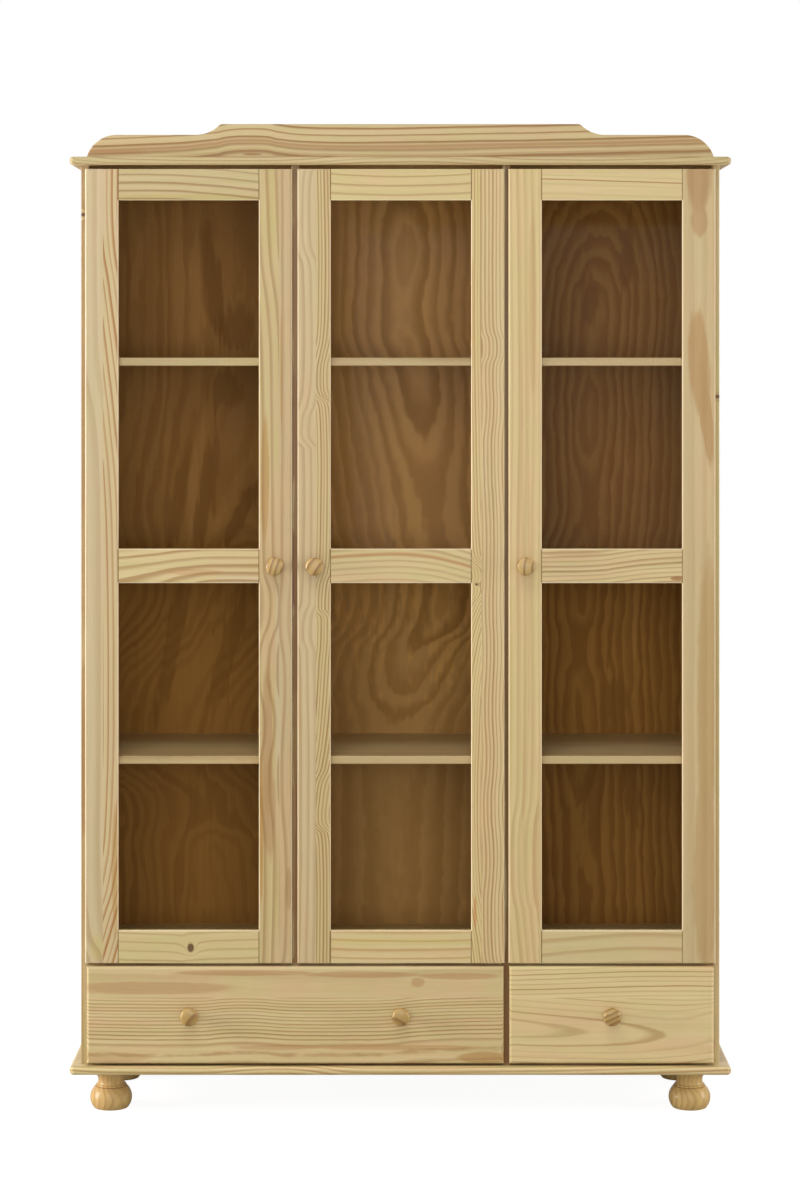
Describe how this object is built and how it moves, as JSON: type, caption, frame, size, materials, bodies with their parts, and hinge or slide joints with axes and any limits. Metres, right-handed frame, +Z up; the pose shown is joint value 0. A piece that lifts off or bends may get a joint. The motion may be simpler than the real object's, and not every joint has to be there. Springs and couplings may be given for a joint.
{
  "type": "display cabinet",
  "caption": "Free-standing pine display cabinet with glazed hinged doors, shelves, drawers below, shaped pediment and turned bun feet.",
  "frame": {"origin": "on the floor, below the middle of the whole cabinet", "axes": "+Z up, +Y towards the back (the wall), +X towards the viewer's right"},
  "size_m": [1.29, 0.398, 1.932],
  "materials": {
    "pine_carcass": "clear satin lacquer on natural pine",
    "pine_front": "clear satin lacquer on natural pine",
    "pine_turned": "clear satin lacquer on natural pine",
    "pine_drawer_box": "bare planed pine",
    "plywood": "clear lacquered pine plywood",
    "clear_glass": "clear float glass",
    "hinge_steel": "nickel plated",
    "support_steel": "zinc plated"
  },
  "bodies": {
    "carcass": {"base_board": "pine_carcass", "top_board": "pine_carcass", "pediment": "pine_front", "side_panel_left": "pine_carcass", "side_panel_right": "pine_carcass", "centre_partition": "pine_carcass", "divider_panel": "pine_carcass", "floor_board_wide": "pine_carcass", "floor_board_narrow": "pine_carcass", "shelf_left_lower": "pine_carcass", "shelf_left_upper": "pine_carcass", "shelf_middle_lower": "pine_carcass", "shelf_middle_upper": "pine_carcass", "shelf_right_lower": "pine_carcass", "shelf_right_upper": "pine_carcass", "fixed_shelves": "pine_carcass", "shelf_supports": "support_steel", "back_panel_left": "plywood", "back_panel_middle": "plywood", "back_panel_right": "plywood", "bun_feet": "pine_turned", "hinge_arms": "hinge_steel", "drawer_runners": "pine_drawer_box"},
    "left_door": {"left_door_left_stile": "pine_front", "left_door_right_stile": "pine_front", "left_door_bottom_rail": "pine_front", "left_door_middle_rail": "pine_front", "left_door_top_rail": "pine_front", "left_door_glass": "clear_glass", "left_door_glazing_beads": "pine_carcass", "left_door_hinge_cups": "hinge_steel", "left_door_knob": "pine_turned"},
    "middle_door": {"middle_door_left_stile": "pine_front", "middle_door_right_stile": "pine_front", "middle_door_bottom_rail": "pine_front", "middle_door_middle_rail": "pine_front", "middle_door_top_rail": "pine_front", "middle_door_glass": "clear_glass", "middle_door_glazing_beads": "pine_carcass", "middle_door_hinge_cups": "hinge_steel", "middle_door_knob": "pine_turned"},
    "right_door": {"right_door_left_stile": "pine_front", "right_door_right_stile": "pine_front", "right_door_bottom_rail": "pine_front", "right_door_middle_rail": "pine_front", "right_door_top_rail": "pine_front", "right_door_glass": "clear_glass", "right_door_glazing_beads": "pine_carcass", "right_door_hinge_cups": "hinge_steel", "right_door_knob": "pine_turned"},
    "wide_drawer": {"wide_drawer_front": "pine_front", "wide_drawer_sides": "pine_drawer_box", "wide_drawer_back": "pine_drawer_box", "wide_drawer_bottom": "plywood", "wide_drawer_knobs": "pine_turned"},
    "narrow_drawer": {"narrow_drawer_front": "pine_front", "narrow_drawer_sides": "pine_drawer_box", "narrow_drawer_back": "pine_drawer_box", "narrow_drawer_bottom": "plywood", "narrow_drawer_knobs": "pine_turned"}
  },
  "joints": [
    {"name": "left_door_hinge", "type": "hinge", "parent": "carcass", "child": "left_door", "pos_m": [-0.615, -0.173, 1.06975], "axis": [0, 0, -1], "range_deg": [0, 100]},
    {"name": "middle_door_hinge", "type": "hinge", "parent": "carcass", "child": "middle_door", "pos_m": [0.20333, -0.173, 1.06975], "axis": [0, 0, 1], "range_deg": [0, 100]},
    {"name": "right_door_hinge", "type": "hinge", "parent": "carcass", "child": "right_door", "pos_m": [0.615, -0.173, 1.06975], "axis": [0, 0, 1], "range_deg": [0, 100]},
    {"name": "wide_drawer_slide", "type": "slide", "parent": "carcass", "child": "wide_drawer", "axis": [0, -1, 0], "range_m": [0, 0.26]},
    {"name": "narrow_drawer_slide", "type": "slide", "parent": "carcass", "child": "narrow_drawer", "axis": [0, -1, 0], "range_m": [0, 0.26]}
  ]
}
